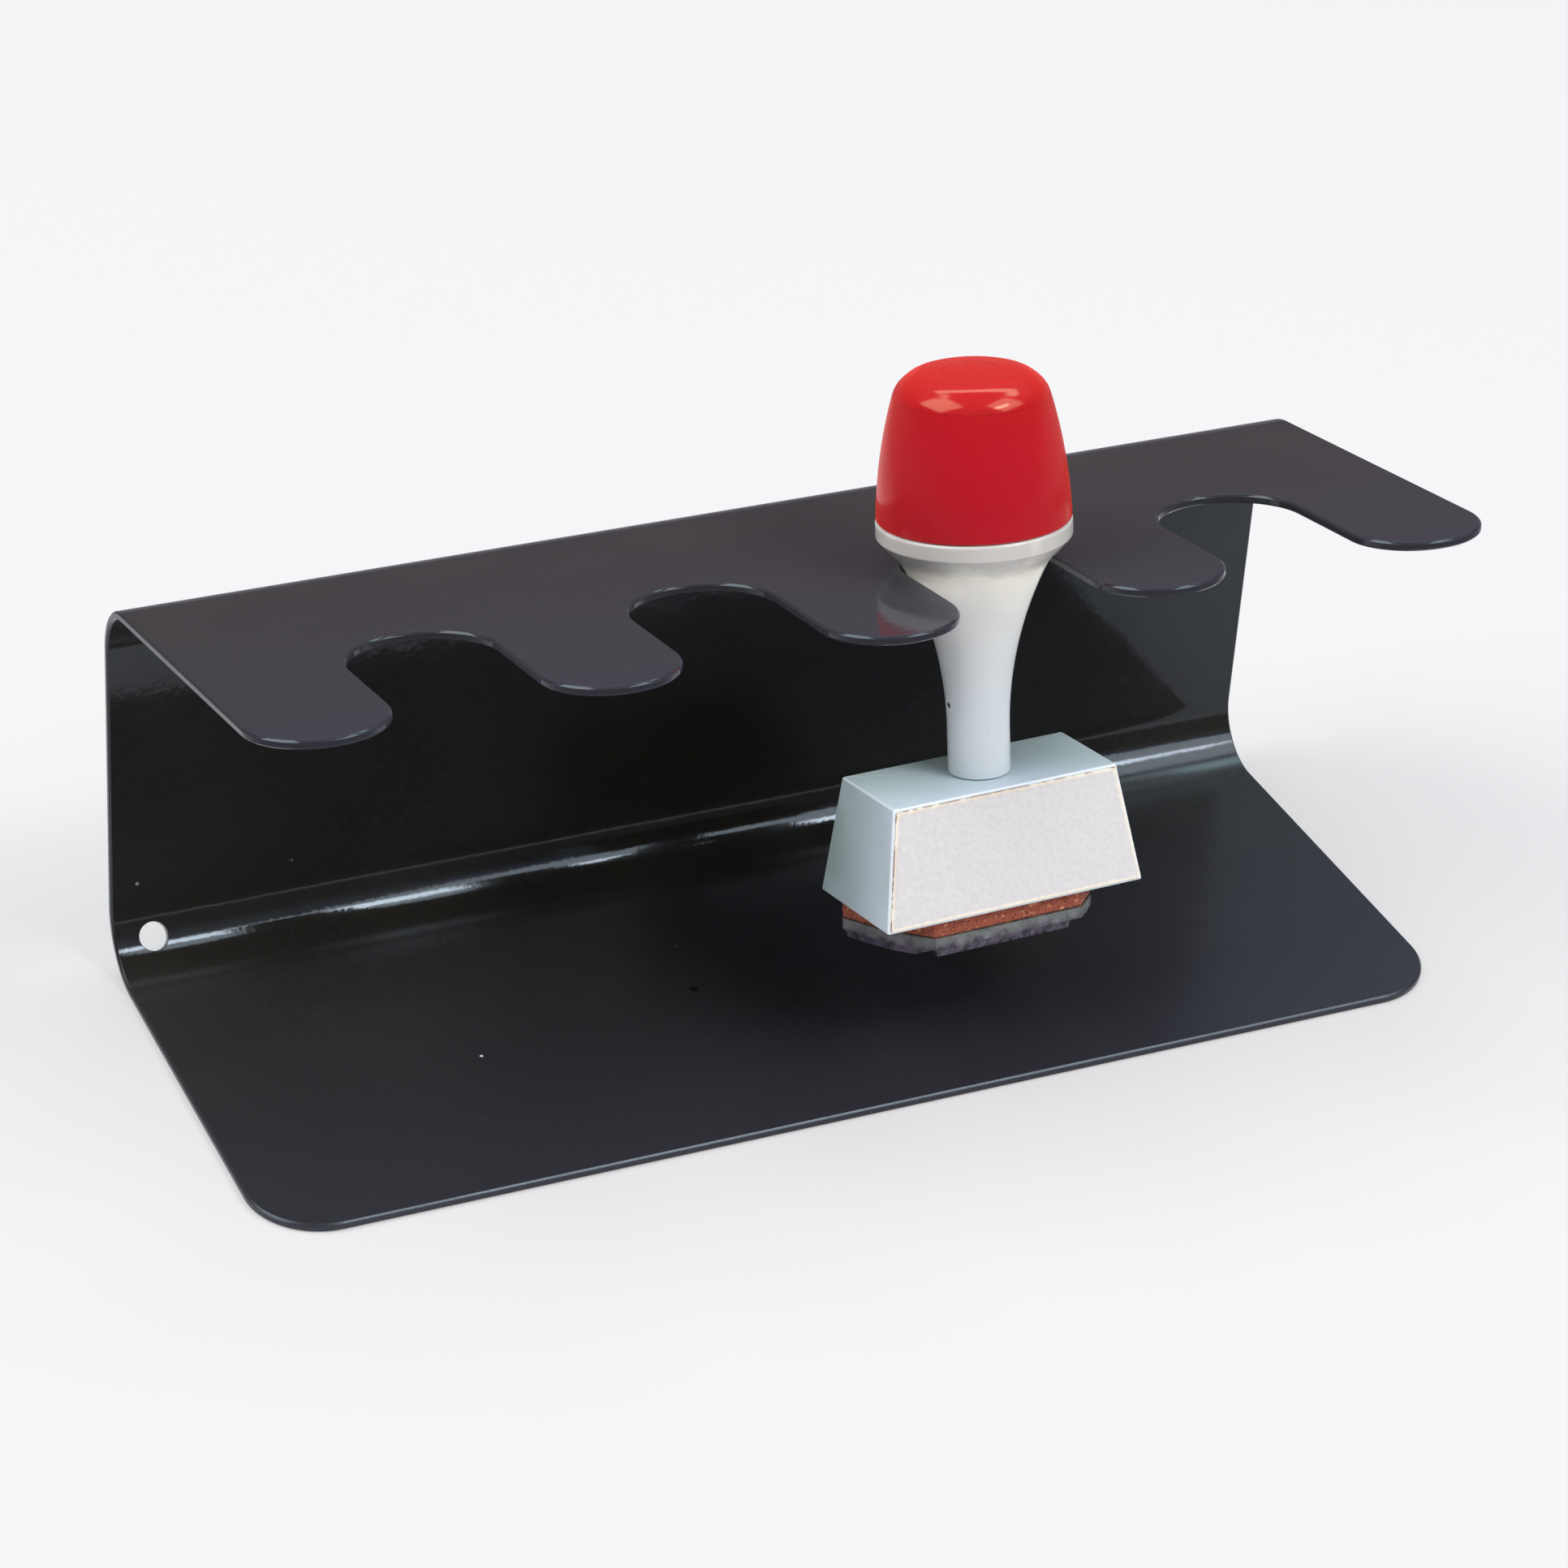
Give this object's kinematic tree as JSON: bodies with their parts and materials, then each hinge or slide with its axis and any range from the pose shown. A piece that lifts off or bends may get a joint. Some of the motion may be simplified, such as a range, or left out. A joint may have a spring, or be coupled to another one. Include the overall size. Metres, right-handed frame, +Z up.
{
  "type": "stamp rack",
  "caption": "Folded-sheet desk rack with open slots that hold hand stamps by the neck, with one knob-handled stamp hanging in a slot over the base.",
  "frame": {"origin": "on the resting plane, in the middle of the rack's footprint, which is also the bottom centre of the whole object's box", "axes": "+X along the rack's length towards the viewer's right, -Y towards the open side that stamps are put in from, +Z up"},
  "size_m": [0.18, 0.07, 0.0984],
  "materials": {
    "rack_enamel": "gloss black stoving enamel on steel sheet",
    "handle_plastic": "moulded, light grey",
    "cap_plastic": "moulded, translucent red, polished",
    "zinc_steel": "zinc plated",
    "block_plastic": "moulded, pale blue grey",
    "label_card": "bare off-white card",
    "adhesive_tape": "double-sided adhesive film",
    "sponge_rubber": "open-cell orange sponge rubber",
    "die_rubber": "vulcanised grey-green rubber"
  },
  "bodies": {
    "rack_body": {"rack_sheet": "rack_enamel"},
    "handle_body": {"handle": "handle_plastic", "handle_screw": "zinc_steel", "screw_washer": "zinc_steel"},
    "cap_body": {"cap": "cap_plastic"},
    "mount_body": {"mount_block": "block_plastic", "mount_nut": "zinc_steel", "title_label": "label_card", "mount_tape": "adhesive_tape", "cushion": "sponge_rubber", "die_tape": "adhesive_tape", "rubber_die": "die_rubber"}
  },
  "joints": [
    {"name": "stamp_slide", "type": "slide", "parent": "rack_body", "child": "handle_body", "axis": [0, -0.9744, 0.225], "range_m": [0, 0.045]},
    {"name": "mount_turn", "type": "hinge", "parent": "handle_body", "child": "mount_body", "pos_m": [0.02, -0.00885, 0.07012], "axis": [0, 0.225, 0.9744], "continuous": true},
    {"name": "cap_pull", "type": "slide", "parent": "handle_body", "child": "cap_body", "axis": [0, 0.225, 0.9744], "range_m": [0, 0.025]}
  ]
}
